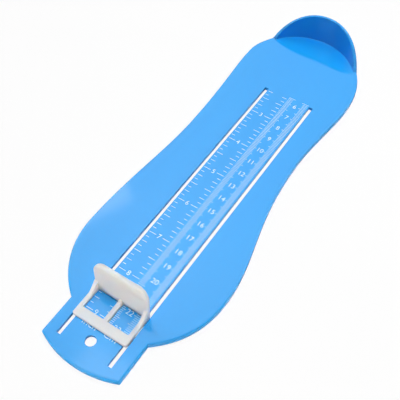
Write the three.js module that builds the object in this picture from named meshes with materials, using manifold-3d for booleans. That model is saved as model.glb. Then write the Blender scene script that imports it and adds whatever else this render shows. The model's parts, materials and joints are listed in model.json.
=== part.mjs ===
import * as THREE from "three";
import { mergeVertices } from "three/addons/utils/BufferGeometryUtils.js";
import Module from "manifold-3d";

const wasm = await Module();
wasm.setup();

// Sizes in mm. X runs across the foot from the middle of the two slots, +Y towards the heel and +Z up.
// Y = 0 is the scale's zero line, where the heel touches, and Z = 0 is the table that the plate lies on.

// Plate: a thin web with a rim turned down all round it
const WEB = 2;
const RIM_DROP = 1.2;
const RIM = 1.6;
const TOP_FILLET = 0.9;
const FOOT_FILLET = 0.3;
const PLATE_TOP = RIM_DROP + WEB;

// Outline at the heel: one arc, which the heel wall stands on
const HEEL_X = -5.2;
const HEEL_RADIUS = 35.3;
const HEEL_WALL = 2.4;
const HEEL_Y = HEEL_WALL - HEEL_RADIUS;
const HEEL_JOIN = THREE.MathUtils.degToRad(60);

// Outline along the two sides: [x, y] of the widest or narrowest place, and how far its curve reaches
const INNER_SIDE = {
  shoulder: { at: [-41.2, -38.1], before: 8.6, after: 8.2 },
  waist: { at: [-37.8, -103.9], before: 30.6, after: 27.3 },
  ball: { at: [-42.9, -187.4], before: 34.4, after: 17.3 },
  slope: THREE.MathUtils.degToRad(36),
};
const OUTER_SIDE = {
  shoulder: { at: [32.5, -47.2], before: 13, after: 9.5 },
  waist: { at: [28.3, -95.3], before: 14.9, after: 48.8 },
  ball: { at: [41.1, -188], before: 27.9, after: 17.4 },
  slope: THREE.MathUtils.degToRad(40),
};
const HEEL_REACH = 12.8;
const NOTCH_REACH = 16.5;

// Tab at the toe end, with its hanging hole: it starts at the notch in the outline and ends in a flat arc
const TAB_X = 0.4;
const TAB_HALF = 22.5;
const NOTCH_Y = -228.6;
const TAB_LENGTH = 21.3;
const TAB_BULGE = 4.8;
const TAB_CORNER = 0.8;
const TAB_SHOULDER_Y = NOTCH_Y - TAB_LENGTH;
const HOLE_RADIUS = 2.8;
const HOLE_IN = 8.6;

// Two straight slots, closed at both ends, that guide the slider
const SLOT_X = 14.8;
const SLOT_WIDTH = 2.3;
const SLOT_IN = 3.4;
const SLOT_LENGTH = 191;
const SLOT_TOE_Y = TAB_SHOULDER_Y + SLOT_IN;

// Heel wall: highest at the back of the heel, it falls in an arch to both sides and thins towards its top
const WALL_HEIGHT = 18.2;
const WALL_SPAN = THREE.MathUtils.degToRad(56);
const WALL_TURN = THREE.MathUtils.degToRad(-0.4);
const WALL_CREST = 0.7;
const WALL_ROOT = 0.3;
const WALL_SUNK = 0.1;
const OUTER_DRAFT = Math.tan(THREE.MathUtils.degToRad(0.3));
const INNER_DRAFT = Math.tan(THREE.MathUtils.degToRad(1.5));
const ARCH_POWER = 2.2;
const ARCH_FULLNESS = 0.89;

// Snap hooks under the rails, which reach through the slots and catch outside them
const SIDE_PLAY = 0.55;
const HOOK = SLOT_WIDTH - 2 * SIDE_PLAY;
const HOOK_LENGTH = 5;
const CATCH = 0.55;
const CATCH_FACE = 0.28;
const CATCH_PLAY = 0.1;
const LEAD_IN = 0.3;
const TABLE_GAP = 0.25;

// Slider: a low window frame with a tall toe plate at its heel end; it rests REST_TRAVEL from the slots' ends
const REST_TRAVEL = 13.4;
const SLIDER_LENGTH = 18.95;
const HOOKS_FROM_TOE_FACE = 0.2;
const HOOKS_FROM_FRAME_END = 2.25;
const RAIL_PAST_HOOKS = 0.3;
const SLIDER_HALF = SLOT_X + HOOK / 2 + RAIL_PAST_HOOKS;
const FRAME_END_Y = SLOT_TOE_Y + REST_TRAVEL - HOOKS_FROM_FRAME_END;
const TOE_FACE_Y = FRAME_END_Y + SLIDER_LENGTH;
const RUN = 0.05;
const FRAME_HEIGHT = 1.8;
const FRAME_EDGE = 0.6;
const FRAME_CORNER = 1;
const WINDOW_CORNER = 0.5;
const FRAME_INTO_TOE = 0.4;
const RAIL = 2.5;
const MIDDLE_BAR = 2.6;
const FRONT_BAR = 5.3;

// Toe plate: leans a little towards the heel, curls over at its top, and is rounded most on its front
const TOE_PLATE = 2;
const TOE_HEIGHT = 20;
const TOE_CORNER = 5.5;
const TOE_LEAN = 0.05;
const TOE_CURL = 1.3;
const TOE_CURL_REACH = 6;
const TOE_FRONT_ROUND = 1.3;
const TOE_HEEL_ROUND = 0.5;

// Gussets that sweep from each rail and from the middle bar up the toe plate. The last three values are
// shares of the reach and the rise that the sweep's two pulls have.
const GUSSET_HEIGHT = 6.8;
const GUSSET_REACH = 6.6;
const GUSSET_INSET = 0.25;
const GUSSET_EDGE = 0.35;
const GUSSET_STEEP = 0.22;
const GUSSET_DROP = 0.35;
const GUSSET_LEVEL = 0.55;
const MIDDLE_GUSSET_HEIGHT = 3.2;
const MIDDLE_GUSSET_REACH = 2.4;

// Joins rings of equally many points into a closed body; every ring runs anticlockwise seen from its far end
function loft(rings) {
  const n = rings[0].length;
  const faces = [];
  for (let k = 0; k + 1 < rings.length; k++) {
    for (let i = 0; i < n; i++) {
      const j = (i + 1) % n;
      faces.push(k * n + i, k * n + j, (k + 1) * n + j);
      faces.push(k * n + i, (k + 1) * n + j, (k + 1) * n + i);
    }
  }
  return { points: rings.flat(), faces };
}

function geometryOf({ points, faces }) {
  const geometry = new THREE.BufferGeometry();
  geometry.setAttribute("position", new THREE.Float32BufferAttribute(points.flat(), 3));
  geometry.setIndex(faces);
  return geometry;
}

// Stacks insets of a flat outline: each step is [inset, z]
function stack(outline, steps) {
  const rings = steps.map(([inset, z]) => insetOutline(outline, inset).map(([x, y]) => [x, y, z]));
  const body = loft(rings);
  const cap = THREE.ShapeUtils.triangulateShape(outline.map(([x, y]) => new THREE.Vector2(x, y)), []);
  const last = (steps.length - 1) * outline.length;
  for (const [a, b, c] of cap) {
    body.faces.push(c, b, a);
    body.faces.push(last + a, last + b, last + c);
  }
  return geometryOf(body);
}

// Moves each point of an anticlockwise outline inwards, square to its two edges
function insetOutline(outline, inset) {
  const n = outline.length;
  return outline.map(([x, y], i) => {
    const [x0, y0] = outline[(i + n - 1) % n];
    const [x1, y1] = outline[(i + 1) % n];
    const before = new THREE.Vector2(y0 - y, x - x0).normalize();
    const after = new THREE.Vector2(y - y1, x1 - x).normalize();
    const mean = before.clone().add(after).normalize();
    const reach = inset / Math.max(mean.dot(before), 0.3);
    return [x + mean.x * reach, y + mean.y * reach];
  });
}

// Steps of a quarter-round edge of this radius, from the side wall over to the top face
function roundedTop(radius, top, count) {
  const steps = [];
  for (let i = 0; i <= count; i++) {
    const a = (i / count) * Math.PI / 2;
    steps.push([radius * (1 - Math.cos(a)), top - radius * (1 - Math.sin(a))]);
  }
  return steps;
}

function outlineOf(shape, divisions) {
  const points = shape.getPoints(divisions);
  if (points[0].distanceTo(points[points.length - 1]) < 1e-6) points.pop();
  if (THREE.ShapeUtils.isClockWise(points)) points.reverse();
  return points.map((p) => [p.x, p.y]);
}

function box(x0, x1, y0, y1, z0, z1) {
  const geometry = new THREE.BoxGeometry(x1 - x0, y1 - y0, z1 - z0);
  return geometry.translate((x0 + x1) / 2, (y0 + y1) / 2, (z0 + z1) / 2);
}

function solid(geometry) {
  const bare = geometry.clone();
  bare.deleteAttribute("normal");
  bare.deleteAttribute("uv");
  const merged = mergeVertices(bare, 1e-5);
  return new wasm.Manifold(new wasm.Mesh({
    numProp: 3,
    vertProperties: merged.attributes.position.array,
    triVerts: new Uint32Array(merged.index.array),
  }));
}

function meshOf(body, name, material) {
  const made = body.getMesh();
  const geometry = new THREE.BufferGeometry();
  geometry.setAttribute("position", new THREE.BufferAttribute(made.vertProperties, 3));
  geometry.setIndex(new THREE.BufferAttribute(made.triVerts, 1));
  geometry.computeVertexNormals();
  const mesh = new THREE.Mesh(geometry, material);
  mesh.name = name;
  return mesh;
}

// Where the heel arc hands over to a side, on side -1 or 1
function heelJoin(side) {
  return [
    HEEL_X + side * HEEL_RADIUS * Math.sin(HEEL_JOIN),
    HEEL_Y + HEEL_RADIUS * Math.cos(HEEL_JOIN),
  ];
}

// The foot-shaped outline, anticlockwise: heel arc, inner side, tab and outer side
function plateOutline() {
  const shape = new THREE.Shape();
  const [startX, startY] = heelJoin(1);
  shape.moveTo(startX, startY);
  shape.absarc(HEEL_X, HEEL_Y, HEEL_RADIUS, Math.PI / 2 - HEEL_JOIN, Math.PI / 2 + HEEL_JOIN);
  for (const curve of sideCurves(-1, INNER_SIDE)) {
    shape.bezierCurveTo(...curve[1], ...curve[2], ...curve[3]);
  }
  const left = TAB_X - TAB_HALF;
  const right = TAB_X + TAB_HALF;
  shape.lineTo(left, TAB_SHOULDER_Y + TAB_CORNER);
  shape.quadraticCurveTo(left, TAB_SHOULDER_Y, left + TAB_CORNER, TAB_SHOULDER_Y - TAB_CORNER / 4);
  const end = tabEnd();
  shape.absarc(TAB_X, end.y, end.radius, 1.5 * Math.PI - end.angle, 1.5 * Math.PI + end.angle);
  shape.quadraticCurveTo(right, TAB_SHOULDER_Y, right, TAB_SHOULDER_Y + TAB_CORNER);
  shape.lineTo(right, NOTCH_Y);
  for (const curve of sideCurves(1, OUTER_SIDE).reverse()) {
    shape.bezierCurveTo(...curve[2], ...curve[1], ...curve[0]);
  }
  return outlineOf(shape, 16);
}

// The tab's end arc, which passes through its two corners and its end
function tabEnd() {
  const half = TAB_HALF - TAB_CORNER;
  const rise = TAB_BULGE - TAB_CORNER / 4;
  const radius = (half * half + rise * rise) / (2 * rise);
  return { radius, y: TAB_SHOULDER_Y - TAB_BULGE + radius, angle: Math.asin(half / radius) };
}

// Four Bezier curves from the heel arc to the tab's notch; each is straight along Y at its widest places
function sideCurves(side, { shoulder, waist, ball, slope }) {
  const join = heelJoin(side);
  const notch = [TAB_X + side * TAB_HALF, NOTCH_Y];
  const above = (place) => [place.at[0], place.at[1] + place.before];
  const below = (place) => [place.at[0], place.at[1] - place.after];
  const leave = [
    join[0] + side * HEEL_REACH * Math.cos(HEEL_JOIN),
    join[1] - HEEL_REACH * Math.sin(HEEL_JOIN),
  ];
  const arrive = [
    notch[0] + side * NOTCH_REACH * Math.cos(slope),
    notch[1] + NOTCH_REACH * Math.sin(slope),
  ];
  return [
    [join, leave, above(shoulder), shoulder.at],
    [shoulder.at, below(shoulder), above(waist), waist.at],
    [waist.at, below(waist), above(ball), ball.at],
    [ball.at, below(ball), arrive, notch],
  ];
}

// The wall round the heel: its section, swept along the heel arc, grows and shrinks with the arch
function heelWall() {
  const count = 48;
  const rings = [];
  for (let i = 0; i <= count; i++) {
    const u = -Math.cos((i / count) * Math.PI);
    const angle = WALL_TURN + u * WALL_SPAN;
    const arch = WALL_HEIGHT * Math.pow(Math.max(1 - Math.abs(u) ** ARCH_POWER, 0), ARCH_FULLNESS);
    rings.push(wallSection(arch).map(([inwards, z]) => {
      const r = HEEL_RADIUS - inwards;
      return [HEEL_X + r * Math.sin(angle), HEEL_Y + r * Math.cos(angle), z];
    }));
  }
  const n = rings[0].length;
  const body = loft(rings);
  for (let i = 1; i + 1 < n; i++) {
    body.faces.push(0, i + 1, i);
    body.faces.push(count * n, count * n + i, count * n + i + 1);
  }
  return geometryOf(body);
}

// Section of the heel wall for a height above the plate: [distance in from the outer face, z]
function wallSection(height) {
  const foot = PLATE_TOP - WEB / 2;
  const top = PLATE_TOP - WALL_SUNK + height;
  const lean = OUTER_DRAFT * height;
  const round = (HEEL_WALL - lean - INNER_DRAFT * height) / 2;
  const rise = Math.min(WALL_CREST, (height + WALL_SUNK) / 2);
  const root = Math.min(WALL_ROOT, height / 3);
  const points = [[0, foot]];
  for (let k = 0; k <= 6; k++) {
    const a = (k / 6) * Math.PI;
    points.push([lean + round * (1 - Math.cos(a)), top - rise * (1 - Math.sin(a))]);
  }
  for (let k = 0; k <= 4; k++) {
    const a = (k / 4) * Math.PI / 2;
    points.push([HEEL_WALL + root * (1 - Math.cos(a)), PLATE_TOP - WALL_SUNK / 4 + root * (1 - Math.sin(a))]);
  }
  points.push([HEEL_WALL + root, foot]);
  return points;
}

function measuringPlate(material) {
  const outline = plateOutline();
  const foot = [[FOOT_FILLET, 0], [0, FOOT_FILLET]];
  let body = solid(stack(outline, [...foot, ...roundedTop(TOP_FILLET, PLATE_TOP, 4)]));
  body = body.add(solid(heelWall()));
  body = body.subtract(solid(stack(outline, [[RIM, -1], [RIM, RIM_DROP]])));
  for (const side of [-1, 1]) {
    const x = side * SLOT_X;
    const heelY = SLOT_TOE_Y + SLOT_LENGTH;
    const slot = box(x - SLOT_WIDTH / 2, x + SLOT_WIDTH / 2, SLOT_TOE_Y, heelY, -1, PLATE_TOP + 1);
    body = body.subtract(solid(slot));
  }
  const hole = new THREE.CylinderGeometry(HOLE_RADIUS, HOLE_RADIUS, PLATE_TOP + 2, 48);
  hole.rotateX(Math.PI / 2).translate(0, TAB_SHOULDER_Y + HOLE_IN, PLATE_TOP / 2);
  return meshOf(body.subtract(solid(hole)), "measuring_plate", material);
}

// How far the toe plate has moved towards the heel at a height above the plate
function toeLean(height) {
  const curl = Math.max(height - TOE_HEIGHT + TOE_CURL_REACH, 0) / TOE_CURL_REACH;
  return TOE_LEAN * height + TOE_CURL * curl * curl;
}

// How far a place on the toe plate lies inside its outline, which has two round top corners
function insideToeOutline(x, height) {
  const across = Math.abs(x) - (SLIDER_HALF - TOE_CORNER);
  const up = height - (TOE_HEIGHT - TOE_CORNER);
  if (across > 0 && up > 0) return TOE_CORNER - Math.hypot(across, up);
  return TOE_CORNER - Math.max(across, up);
}

// How far a face with a quarter-round edge falls back, at a distance inside the edge
function fallBack(inside, radius) {
  const short = radius - Math.min(Math.max(inside, 0), radius);
  return radius - Math.sqrt(radius * radius - short * short);
}

// The toe plate: level sections stacked upwards, each along the front face and back along the heel face
function toePlate() {
  const straight = TOE_HEIGHT - TOE_CORNER;
  const heights = [0, 0.3, 0.6, 0.8, 0.9].map((share) => share * straight);
  for (let i = 0; i <= 12; i++) {
    heights.push(straight + TOE_CORNER * Math.sin((i / 12) * Math.PI / 2));
  }
  const columns = 24;
  const rings = heights.map((height) => {
    const over = Math.max(height - straight, 0);
    const half = SLIDER_HALF - TOE_CORNER + Math.sqrt(Math.max(TOE_CORNER * TOE_CORNER - over * over, 0));
    const front = [];
    const heel = [];
    for (let i = 0; i <= columns; i++) {
      const x = half * Math.sin((i / columns - 0.5) * Math.PI);
      const inside = insideToeOutline(x, height);
      const y = TOE_FACE_Y + toeLean(height);
      const z = PLATE_TOP + RUN + height;
      front.push([x, y - TOE_PLATE + fallBack(inside, TOE_FRONT_ROUND), z]);
      heel.push([x, y - fallBack(inside, TOE_HEEL_ROUND), z]);
    }
    return [...front, ...heel.reverse()];
  });
  const body = loft(rings);
  const top = (rings.length - 1) * rings[0].length;
  for (let i = 0; i < columns; i++) {
    const heel = 2 * columns + 1 - i;
    body.faces.push(i, heel - 1, i + 1);
    body.faces.push(i, heel, heel - 1);
    body.faces.push(top + i, top + i + 1, top + heel - 1);
    body.faces.push(top + i, top + heel - 1, top + heel);
  }
  return geometryOf(body);
}

// Points of a rectangle with rounded corners, anticlockwise round its middle
function roundedRectangle(halfX, halfY, radius) {
  const points = [];
  for (let corner = 0; corner < 4; corner++) {
    const sx = corner === 0 || corner === 3 ? 1 : -1;
    const sy = corner < 2 ? 1 : -1;
    for (let k = 0; k <= 4; k++) {
      const a = (corner + k / 4) * Math.PI / 2;
      points.push([
        sx * (halfX - radius) + radius * Math.cos(a),
        sy * (halfY - radius) + radius * Math.sin(a),
      ]);
    }
  }
  return points;
}

// What is cut out for a window: it flares at its top, so that the bars round it get rounded edges
function frameWindow(x0, x1, y0, y1) {
  const bottom = PLATE_TOP + RUN;
  const top = bottom + FRAME_HEIGHT;
  const plan = roundedRectangle((x1 - x0) / 2, (y1 - y0) / 2, WINDOW_CORNER)
    .map(([x, y]) => [x + (x0 + x1) / 2, y + (y0 + y1) / 2]);
  const flare = roundedTop(FRAME_EDGE, top, 4).map(([back, z]) => [-back, z]);
  return stack(plan, [[0, bottom - 1], ...flare, [-FRAME_EDGE, top + 1]]);
}

// A sweep up the toe plate from a bar of the frame, between two x, with softly rounded edges
function gusset(x0, x1, height, reach) {
  const foot = TOE_FACE_Y - TOE_PLATE;
  const rise = height - FRAME_HEIGHT;
  const into = TOE_PLATE / 2;
  const shape = new THREE.Shape();
  shape.moveTo(foot + into, FRAME_HEIGHT / 2);
  shape.lineTo(foot + into + toeLean(height), height);
  shape.lineTo(foot + toeLean(height), height);
  shape.bezierCurveTo(
    foot - reach * GUSSET_STEEP, height - rise * GUSSET_DROP,
    foot - reach * GUSSET_LEVEL, FRAME_HEIGHT,
    foot - reach, FRAME_HEIGHT,
  );
  shape.lineTo(foot - reach, FRAME_HEIGHT / 2);
  const bar = new THREE.ExtrudeGeometry(shape, {
    depth: x1 - x0 - 2 * (GUSSET_INSET + GUSSET_EDGE),
    bevelThickness: GUSSET_EDGE,
    bevelSize: GUSSET_EDGE,
    bevelOffset: -GUSSET_EDGE,
    bevelSegments: 3,
    curveSegments: 10,
  });
  bar.rotateY(Math.PI / 2).rotateX(Math.PI / 2);
  return bar.translate(x0 + GUSSET_INSET + GUSSET_EDGE, 0, PLATE_TOP + RUN);
}

// One snap hook on side -1 or 1, from its heel end
function snapHook(side, heelY) {
  const out = SLOT_X + HOOK / 2;
  const tip = SLOT_X + SLOT_WIDTH / 2 + CATCH;
  const catchZ = RIM_DROP - CATCH_PLAY;
  const shape = new THREE.Shape();
  shape.moveTo(out - HOOK, PLATE_TOP + RUN + FRAME_HEIGHT / 2);
  shape.lineTo(out - HOOK, TABLE_GAP);
  shape.lineTo(out - LEAD_IN, TABLE_GAP);
  shape.lineTo(tip, catchZ - CATCH_FACE);
  shape.lineTo(tip, catchZ);
  shape.lineTo(out, catchZ);
  shape.lineTo(out, PLATE_TOP + RUN + FRAME_HEIGHT / 2);
  const hook = new THREE.ExtrudeGeometry(shape, { depth: HOOK_LENGTH, bevelEnabled: false });
  hook.rotateX(Math.PI / 2).translate(0, heelY, 0);
  if (side > 0) return hook;
  return hook.rotateZ(Math.PI).translate(0, 2 * heelY - HOOK_LENGTH, 0);
}

function toeSlider(material) {
  const bottom = PLATE_TOP + RUN;
  const top = bottom + FRAME_HEIGHT;
  const plan = roundedRectangle(SLIDER_HALF, SLIDER_LENGTH / 2, FRAME_CORNER)
    .map(([x, y]) => [x, y + (TOE_FACE_Y + FRAME_END_Y) / 2]);
  let body = solid(stack(plan, [[0, bottom], ...roundedTop(FRAME_EDGE, top, 4)]));
  const inner = SLIDER_HALF - RAIL;
  const windowHeel = TOE_FACE_Y - TOE_PLATE;
  const windowToe = FRAME_END_Y + FRONT_BAR;
  const frameHeel = windowHeel + FRAME_INTO_TOE;
  const past = SLIDER_HALF + 1;
  body = body.subtract(solid(box(-past, past, frameHeel, TOE_FACE_Y + 1, bottom - 1, top + 1)));
  for (const side of [-1, 1]) {
    const from = side > 0 ? MIDDLE_BAR / 2 : -inner;
    body = body.subtract(solid(frameWindow(from, from + inner - MIDDLE_BAR / 2, windowToe, TOE_FACE_Y)));
  }
  body = body.add(solid(toePlate()));
  body = body.add(solid(gusset(-SLIDER_HALF, -inner, GUSSET_HEIGHT, GUSSET_REACH)));
  body = body.add(solid(gusset(inner, SLIDER_HALF, GUSSET_HEIGHT, GUSSET_REACH)));
  body = body.add(solid(gusset(-MIDDLE_BAR / 2, MIDDLE_BAR / 2, MIDDLE_GUSSET_HEIGHT, MIDDLE_GUSSET_REACH)));
  for (const side of [-1, 1]) {
    const first = TOE_FACE_Y - HOOKS_FROM_TOE_FACE;
    const last = FRAME_END_Y + HOOKS_FROM_FRAME_END + HOOK_LENGTH;
    for (const heelY of [first, last]) {
      body = body.add(solid(snapHook(side, heelY)));
    }
  }
  return meshOf(body, "toe_slider", material);
}

const blueAbs = new THREE.MeshStandardMaterial({ color: "#4fa9f4", roughness: 0.18, metalness: 0 });
const whiteAbs = new THREE.MeshStandardMaterial({ color: "#e9e8e6", roughness: 0.3, metalness: 0 });

const group = new THREE.Group();
group.add(measuringPlate(blueAbs));
group.add(toeSlider(whiteAbs));

// The part's origin is the middle of its underside
const bounds = new THREE.Box3().setFromObject(group);
const middle = bounds.getCenter(new THREE.Vector3());
group.position.set(-middle.x, -middle.y, -bounds.min.z);

export default group;
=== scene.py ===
import json
import math

import bpy
import numpy as np
from mathutils import Matrix, Vector


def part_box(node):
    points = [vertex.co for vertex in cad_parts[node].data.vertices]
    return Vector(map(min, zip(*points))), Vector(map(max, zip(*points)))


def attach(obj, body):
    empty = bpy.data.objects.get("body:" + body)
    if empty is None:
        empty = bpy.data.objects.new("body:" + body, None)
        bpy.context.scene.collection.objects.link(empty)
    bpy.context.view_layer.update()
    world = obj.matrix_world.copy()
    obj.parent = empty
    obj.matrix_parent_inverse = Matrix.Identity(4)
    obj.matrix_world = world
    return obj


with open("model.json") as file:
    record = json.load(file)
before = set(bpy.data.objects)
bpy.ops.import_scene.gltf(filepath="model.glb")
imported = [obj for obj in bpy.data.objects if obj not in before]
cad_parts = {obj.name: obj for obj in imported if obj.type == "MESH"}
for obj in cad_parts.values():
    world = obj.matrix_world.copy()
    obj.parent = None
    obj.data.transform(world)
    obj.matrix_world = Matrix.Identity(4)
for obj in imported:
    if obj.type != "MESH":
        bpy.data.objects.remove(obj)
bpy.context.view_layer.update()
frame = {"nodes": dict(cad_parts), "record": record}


# Measuring plate
# One foot-shaped moulding of glossy blue ABS: a thin web with a rim turned down round it, an arched
# heel wall, two slots and a tab with a hanging hole. The mould was polished, so its faces are smooth,
# and the big flat web has the slight ripple that a cooling moulding keeps.
MM = 0.001
MERGE_DISTANCE = 0.002 * MM
SMOOTH_BELOW = 30

plate = frame["nodes"]["measuring_plate"]
_, plate_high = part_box("measuring_plate")


def linear(hex_colour):
    """The linear RGBA of an sRGB hex colour."""
    srgb = np.array([int(hex_colour[i:i + 2], 16) for i in (1, 3, 5)]) / 255
    rgb = np.where(srgb <= 0.04045, srgb / 12.92, ((srgb + 0.055) / 1.055) ** 2.4)
    return (*rgb.tolist(), 1.0)


def node(tree, kind, settings=None, **links):
    """Adds a node. A setting named or numbered after an input sets its value, and any other sets a
    property. A link joins an output to the input of that name, with _ for a space, or i and its number."""
    made = tree.nodes.new(kind)
    for name, value in (settings or {}).items():
        if isinstance(name, int) or name in made.inputs:
            made.inputs[name].default_value = value
        else:
            setattr(made, name, value)
    for name, output in links.items():
        key = int(name[1:]) if name[0] == "i" and name[1:].isdigit() else name.replace("_", " ")
        tree.links.new(output, made.inputs[key])
    return made


def material(name):
    """An empty node material: the material, its tree and its Material Output node."""
    made = bpy.data.materials.new(name)
    made.use_nodes = True
    made.node_tree.nodes.clear()
    return made, made.node_tree, made.node_tree.nodes.new("ShaderNodeOutputMaterial")


def smooth_edges(obj, angle_degrees):
    """Rounds the shading over every edge flatter than the angle, and keeps the big faces flat: the loose
    triangles are merged, shaded smooth except at sharp edges, and their normals weighted by area."""
    tree = bpy.data.node_groups.new("merge_and_smooth", "GeometryNodeTree")
    tree.interface.new_socket("Geometry", in_out="INPUT", socket_type="NodeSocketGeometry")
    tree.interface.new_socket("Geometry", in_out="OUTPUT", socket_type="NodeSocketGeometry")
    start = node(tree, "NodeGroupInput")
    merged = node(tree, "GeometryNodeMergeByDistance", {"Distance": MERGE_DISTANCE},
                  Geometry=start.outputs[0])
    faces = node(tree, "GeometryNodeSetShadeSmooth", {"domain": "FACE"}, Geometry=merged.outputs[0])
    edge = node(tree, "GeometryNodeInputMeshEdgeAngle")
    flat = node(tree, "FunctionNodeCompare", {"operation": "LESS_EQUAL", 1: math.radians(angle_degrees)},
                i0=edge.outputs["Unsigned Angle"])
    edges = node(tree, "GeometryNodeSetShadeSmooth", {"domain": "EDGE"}, Geometry=faces.outputs[0],
                 Shade_Smooth=flat.outputs[0])
    node(tree, "NodeGroupOutput", i0=edges.outputs[0])
    obj.modifiers.new("merge_and_smooth", "NODES").node_group = tree
    weighted = obj.modifiers.new("flat_faces_stay_flat", "WEIGHTED_NORMAL")
    weighted.weight = 100
    weighted.keep_sharp = True


def moulded_abs_blue():
    """Gloss blue ABS from a polished mould: a clear highlight over a saturated blue. The pigment flowed
    along the plate in faint streaks about 45 mm wide and 111 mm long, the polish left a grain of about
    1.1 mm in the gloss, and the web has a ripple about 38.5 mm long that bends reflections."""
    made, tree, out = material("moulded_abs_blue_gloss")
    place = node(tree, "ShaderNodeTexCoord")
    flow = node(tree, "ShaderNodeMapping", {"Scale": (1 / (45 * MM), 1 / (111 * MM), 1 / (45 * MM))},
                Vector=place.outputs["Object"])
    pigment = node(tree, "ShaderNodeTexNoise", {"Scale": 1, "Detail": 3}, Vector=flow.outputs[0])
    colour = node(tree, "ShaderNodeMix", {"data_type": "RGBA", 6: linear("#149ef3"), 7: linear("#1ea6f6")},
                  Factor=pigment.outputs[0])
    grain = node(tree, "ShaderNodeTexNoise", {"Scale": 1 / (1.11 * MM), "Detail": 2},
                 Vector=place.outputs["Object"])
    rough = node(tree, "ShaderNodeMapRange", {"To Min": 0.06, "To Max": 0.1}, Value=grain.outputs[0])
    ripple = node(tree, "ShaderNodeTexNoise", {"Scale": 1 / (38.5 * MM), "Detail": 1},
                  Vector=place.outputs["Object"])
    bump = node(tree, "ShaderNodeBump", {"Strength": 1, "Distance": 0.12 * MM}, Height=ripple.outputs[0])
    body = node(tree, "ShaderNodeBsdfPrincipled", {"IOR": 1.49}, Base_Color=colour.outputs[2],
                Roughness=rough.outputs[0], Normal=bump.outputs[0])
    tree.links.new(body.outputs[0], out.inputs[0])
    return made


plate.data.materials.clear()
plate.data.materials.append(moulded_abs_blue())
smooth_edges(plate, SMOOTH_BELOW)


# Printed scales
# Thin lines of white ink, screen-printed on the web between the slots: eighths of an inch on the left
# and millimetres on the right, each with a row of ticks on either side of its numbers. Both scales
# count from the heel wall's inner face, and X is measured from the middle between the slots.
INCH = 25.4 * MM
HEEL_WALL = 2.4 * MM
INK = 0.02 * MM
INCH_LINE = 0.24 * MM
MM_LINE = 0.22 * MM
INCH_SCALE_LEFT = -12.95 * MM
INCH_SCALE_RIGHT = -0.55 * MM
MM_SCALE_LEFT = 0.2 * MM
MM_SCALE_RIGHT = 12.85 * MM

mounts = {mount["name"]: mount for mount in frame["record"]["mounts"]}
slider_low, slider_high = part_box("toe_slider")
TOP = mounts["foot_face"]["pos_m"][2]
MIDDLE_X = (slider_low.x + slider_high.x) / 2
ZERO_Y = plate_high.y - HEEL_WALL


def prisms(x0, x1, y0, y1, z0, z1):
    """Closed boxes, one for each entry of the arrays: the eight corners are every choice of x, y and z."""
    x = np.stack([x0, x1, x1, x0] * 2, axis=1)
    y = np.stack([y0, y0, y1, y1] * 2, axis=1)
    z = np.broadcast_to(np.repeat([z0, z1], 4), x.shape)
    corners = np.stack([x, y, z], axis=2).reshape(-1, 3)
    sides = np.array([(3, 2, 1, 0), (4, 5, 6, 7), (0, 1, 5, 4), (1, 2, 6, 5), (2, 3, 7, 6), (3, 0, 4, 7)])
    faces = (sides[None] + 8 * np.arange(len(x0))[:, None, None]).reshape(-1, 4)
    return corners, faces


def piece(name, points, faces, finish, body):
    """A mesh object of these points and faces, riding on a body."""
    mesh = bpy.data.meshes.new(name)
    mesh.from_pydata(points.tolist(), [], faces.tolist())
    mesh.materials.append(finish)
    made = bpy.data.objects.new(name, mesh)
    bpy.context.scene.collection.objects.link(made)
    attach(made, body)
    return made


def ticks(name, counts, unit, scale_left, scale_right, left_lengths, right_lengths, line):
    """Two rows of ticks, each tick at its count times the unit from the zero towards the toe. The left
    row's ticks start at scale_left and the right row's end at scale_right, each with its own length."""
    y = ZERO_Y - np.tile(counts, 2) * unit
    x0 = MIDDLE_X + np.concatenate([np.full(len(counts), scale_left), scale_right - right_lengths])
    x1 = MIDDLE_X + np.concatenate([scale_left + left_lengths, np.full(len(counts), scale_right)])
    points, faces = prisms(x0, x1, y - line / 2, y + line / 2, TOP - INK / 2, TOP + INK)
    return piece(name, points, faces, ink, "plate")


def printed_ink():
    """White screen-printing ink: matt, opaque but thin, so a little of the blue shows through. It does so
    in a cloud of about 0.7 mm, drawn coarser than the printing screen's mesh so that it shows."""
    made, tree, out = material("screen_printed_ink_white")
    place = node(tree, "ShaderNodeTexCoord")
    cover = node(tree, "ShaderNodeTexNoise", {"Scale": 1 / (0.714 * MM), "Detail": 2},
                 Vector=place.outputs["Object"])
    colour = node(tree, "ShaderNodeMix", {"data_type": "RGBA", 6: linear("#c9f2ff"), 7: linear("#e2faff")},
                  Factor=cover.outputs[0])
    bump = node(tree, "ShaderNodeBump", {"Strength": 0.3, "Distance": 0.01 * MM}, Height=cover.outputs[0])
    body = node(tree, "ShaderNodeBsdfPrincipled", {"IOR": 1.5, "Roughness": 0.45},
                Base_Color=colour.outputs[2], Normal=bump.outputs[0])
    tree.links.new(body.outputs[0], out.inputs[0])
    return made


ink = printed_ink()

# The lengths are those of an eighth, a quarter, a half and a whole inch.
eighths = np.arange(18, 75)
kind = np.select([eighths % 8 == 0, eighths % 4 == 0, eighths % 2 == 0], [3, 2, 1], 0)
left_lengths = np.array([1.9, 2.9, 3.8, 4.1])[kind] * MM
right_lengths = np.array([2.1, 3.0, 3.9, 4.25])[kind] * MM
ticks("inch_ticks", eighths, INCH / 8, INCH_SCALE_LEFT, INCH_SCALE_RIGHT, left_lengths, right_lengths,
      INCH_LINE)

# The lengths are those of a millimetre, five and ten.
millimetres = np.arange(55, 231)
kind = np.select([millimetres % 10 == 0, millimetres % 5 == 0], [2, 1], 0)
left_lengths = np.array([3.0, 4.0, 3.7])[kind] * MM
right_lengths = np.array([3.06, 4.0, 4.0])[kind] * MM
ticks("millimetre_ticks", millimetres, MM, MM_SCALE_LEFT, MM_SCALE_RIGHT, left_lengths, right_lengths,
      MM_LINE)


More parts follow.
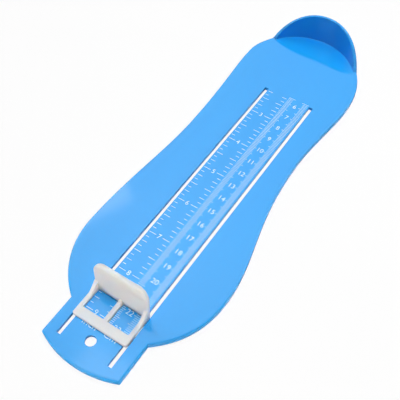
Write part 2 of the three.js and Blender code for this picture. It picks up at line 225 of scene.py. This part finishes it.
# Printed numbers and unit words
# In the same ink: whole inches and whole centimetres, each centred on its own line, and the name of
# each unit at the toe end. They read the right way up with the heel at the top.
CM = 10 * MM
INCH_CAP = 2.8 * MM
CM_CAP = 2.9 * MM
CAP_OF_SIZE = 0.7
THINNER = 0.02 * MM
INCH_NUMBER_X = -6.95 * MM
CM_NUMBER_X = 6.45 * MM
INCH_WORD_X = -5.55 * MM
CM_WORD_X = 6.6 * MM
WORDS_Y = -234.9 * MM
WORD_STRETCH = 1.22


def lettering(name, words, cap, stretch):
    """One mesh of several words, each given as (text, x, y) and centred there, with y from the zero. The
    strokes are thinned, and the ink goes from half its height below the plate's face to all above it."""
    parts = []
    for text, x, y in words:
        curve = bpy.data.curves.new(name, "FONT")
        curve.body = text
        curve.align_x = "CENTER"
        curve.size = cap / CAP_OF_SIZE
        curve.extrude = INK * 0.75
        curve.offset = -THINNER
        curve.resolution_u = 4
        letters = bpy.data.objects.new(name, curve)
        bpy.context.scene.collection.objects.link(letters)
        flat = bpy.data.meshes.new_from_object(letters)
        bpy.data.objects.remove(letters)
        move = Matrix.Translation((MIDDLE_X + x, ZERO_Y + y - cap / 2, TOP + INK / 4))
        flat.transform(move @ Matrix.Diagonal((stretch, 1, 1, 1)))
        part = bpy.data.objects.new(name, flat)
        bpy.context.scene.collection.objects.link(part)
        parts.append(part)
    whole = parts[0]
    with bpy.context.temp_override(active_object=whole, object=whole, selected_objects=parts,
                                   selected_editable_objects=parts):
        bpy.ops.object.join()
    whole.data.materials.clear()
    whole.data.materials.append(ink)
    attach(whole, "plate")
    return whole


lettering("inch_numbers", [(str(n), INCH_NUMBER_X, -n * INCH) for n in range(3, 10)], INCH_CAP, 1)
lettering("centimetre_numbers", [(str(n), CM_NUMBER_X, -n * CM) for n in range(6, 24)], CM_CAP, 1)
lettering("unit_words", [("Inch", INCH_WORD_X, WORDS_Y), ("Cm", CM_WORD_X, WORDS_Y)], CM_CAP, WORD_STRETCH)


# Toe slider
# One moulding of white ABS: a low frame with two windows, a tall toe plate that leans towards the heel,
# and snap hooks that hold it in the slots. Its mould was finely blasted, so it has a soft satin sheen.
def moulded_abs_white():
    """Satin white ABS from a finely blasted mould: a soft wide highlight, and a warm white that lets a
    little light through its thin walls. The blasting is a grain of 0.4 mm, drawn coarser than real so
    that it shows, and the colour clouds over 16.7 mm."""
    made, tree, out = material("moulded_abs_white_satin")
    place = node(tree, "ShaderNodeTexCoord")
    grain = node(tree, "ShaderNodeTexNoise", {"Scale": 1 / (0.4 * MM), "Detail": 3},
                 Vector=place.outputs["Object"])
    cloud = node(tree, "ShaderNodeTexNoise", {"Scale": 1 / (16.7 * MM), "Detail": 2},
                 Vector=place.outputs["Object"])
    colour = node(tree, "ShaderNodeMix", {"data_type": "RGBA", 6: linear("#e0dfdc"), 7: linear("#e4e3e0")},
                  Factor=cloud.outputs[0])
    rough = node(tree, "ShaderNodeMapRange", {"To Min": 0.3, "To Max": 0.42}, Value=grain.outputs[0])
    bump = node(tree, "ShaderNodeBump", {"Strength": 0.4, "Distance": 0.01 * MM}, Height=grain.outputs[0])
    body = node(tree, "ShaderNodeBsdfPrincipled",
                {"IOR": 1.53, "Subsurface Weight": 1, "Subsurface Scale": 6 * MM,
                 "Subsurface Radius": (1, 0.8, 0.6)},
                Base_Color=colour.outputs[2], Roughness=rough.outputs[0], Normal=bump.outputs[0])
    tree.links.new(body.outputs[0], out.inputs[0])
    return made


toe_slider = frame["nodes"]["toe_slider"]
toe_slider.data.materials.clear()
toe_slider.data.materials.append(moulded_abs_white())
smooth_edges(toe_slider, SMOOTH_BELOW)


# Camera
# The photograph looks down on the plate from the toe end, over its right side. The camera's place is
# given from the scales' zero, and its picture is turned by the small roll.
AZIMUTH, ELEVATION, ROLL = (math.radians(angle) for angle in (32.83, 53.75, 0.78))
CAMERA_FROM_ZERO = Vector((111, -323.07, 285.24)) * MM
LENS_MM, SENSOR_MM = 60.56, 36
CLIP_START = 10 * MM

back = Vector((math.sin(AZIMUTH) * math.cos(ELEVATION), -math.cos(AZIMUTH) * math.cos(ELEVATION),
               math.sin(ELEVATION)))
level = Vector((math.cos(AZIMUTH), math.sin(AZIMUTH), 0))
right = level * math.cos(ROLL) + back.cross(level) * math.sin(ROLL)
turn = Matrix((right, back.cross(right), back)).transposed().to_4x4()

camera = bpy.data.objects.new("camera", bpy.data.cameras.new("camera"))
camera.data.lens = LENS_MM
camera.data.sensor_width = SENSOR_MM
camera.data.clip_start = CLIP_START
camera.matrix_world = Matrix.Translation(Vector((MIDDLE_X, ZERO_Y, TOP)) + CAMERA_FROM_ZERO) @ turn
bpy.context.scene.collection.objects.link(camera)
bpy.context.scene.camera = camera


# Floor and backdrop
# The object lies on a white sheet, whose own white fills nine tenths of what the camera sees of it, so
# that a soft shadow stays. The world is white too where it is seen, and lights the object only faintly.
FLOOR_HALF = 3.0
FLOOR_GLOW = 0.9
FAINT_SKY = 0.04


def white_floor():
    """A matt white sheet that shows the camera mostly plain white, and every other ray its own colour."""
    made, tree, out = material("white_floor")
    path = node(tree, "ShaderNodeLightPath")
    matt = node(tree, "ShaderNodeBsdfDiffuse", {"Color": linear("#f4f4f4")})
    seen = node(tree, "ShaderNodeMath", {"operation": "MULTIPLY", 1: FLOOR_GLOW},
                i0=path.outputs["Is Camera Ray"])
    glow = node(tree, "ShaderNodeEmission", {"Color": (1, 1, 1, 1), "Strength": 1})
    both = node(tree, "ShaderNodeMixShader", i0=seen.outputs[0], i1=matt.outputs[0], i2=glow.outputs[0])
    tree.links.new(both.outputs[0], out.inputs[0])
    return made


floor_corners = [(x * FLOOR_HALF, y * FLOOR_HALF, 0) for x, y in ((-1, -1), (1, -1), (1, 1), (-1, 1))]
floor_mesh = bpy.data.meshes.new("floor")
floor_mesh.from_pydata(floor_corners, [], [(0, 1, 2, 3)])
floor_mesh.materials.append(white_floor())
floor = bpy.data.objects.new("floor", floor_mesh)
bpy.context.scene.collection.objects.link(floor)

world = bpy.data.worlds.new("studio")
world.use_nodes = True
tree = world.node_tree
tree.nodes.clear()
path = node(tree, "ShaderNodeLightPath")
camera_or_gloss = node(tree, "ShaderNodeMath", {"operation": "MAXIMUM"},
                       i0=path.outputs["Is Camera Ray"], i1=path.outputs["Is Glossy Ray"])
seen = node(tree, "ShaderNodeMath", {"operation": "MAXIMUM"}, i0=camera_or_gloss.outputs[0],
            i1=path.outputs["Is Transmission Ray"])
strength = node(tree, "ShaderNodeMapRange", {"To Min": FAINT_SKY, "To Max": 1}, Value=seen.outputs[0])
sky = node(tree, "ShaderNodeBackground", {"Color": (1, 1, 1, 1)}, Strength=strength.outputs[0])
tree.links.new(sky.outputs[0], node(tree, "ShaderNodeOutputWorld").inputs[0])
bpy.context.scene.world = world


# Lamps
# Plain soft studio light from above and behind. Places and sizes are in metres. The ceiling's box and
# the overhead one are narrowed, which keeps them off the heel wall's inner face and dims both ends, and
# the overhead one stays out of the gloss, where it would hide the scales from straight above.
def softbox(name, place, size, watts, target, spread=180, colour="#ffffff"):
    """A soft rectangular lamp that looks at the target, and throws its light over spread degrees."""
    lamp = bpy.data.lights.new(name, "AREA")
    lamp.shape = "RECTANGLE"
    lamp.size, lamp.size_y = size
    lamp.energy = watts
    lamp.spread = math.radians(spread)
    lamp.color = linear(colour)[:3]
    made = bpy.data.objects.new(name, lamp)
    made.location = place
    made.rotation_euler = (Vector(place) - Vector(target)).to_track_quat("Z", "Y").to_euler()
    made.visible_camera = False
    bpy.context.scene.collection.objects.link(made)
    return made


softbox("ceiling_softbox", (-0.52, 0.85, 1.3), (1.8, 2.4), 2.1, (-0.02, 0.25, 0), spread=56)
overhead = softbox("overhead_softbox", (0.07, 0.05, 1.5), (0.3, 0.3), 1.04, (0.07, 0.05, 0), spread=50)
overhead.visible_glossy = False
softbox("back_softbox", (0.35, 0.75, 1.0), (0.6, 0.6), 3, (0, 0, 0))
softbox("side_softbox", (-0.75, 0.3, 0.75), (0.5, 0.5), 2, (0, 0, 0))
softbox("key_softbox", (-0.3, 0.1, 1.1), (0.24, 0.2), 0.25, (-0.3, 0.1, 0))

# Two low warm lamps fill the toe plate's front without showing in the gloss, and a card in front, which
# shows only in the gloss, draws the light line on the tab's edge.
for side, x, watts in (("left", -0.35, 0.05), ("right", 0.35, 0.032)):
    low_fill = softbox(f"front_{side}_softbox", (x, -0.4, 0.04), (0.12, 0.05), watts, (0, -0.1, 0.01),
                       spread=34, colour="#ffe9d5")
    low_fill.visible_glossy = False
card = softbox("edge_card", (-0.38, -0.85, 0.76), (0.7, 0.5), 2.75, (0, -0.05, 0))
card.visible_diffuse = False

bpy.context.scene.view_settings.view_transform = "Standard"
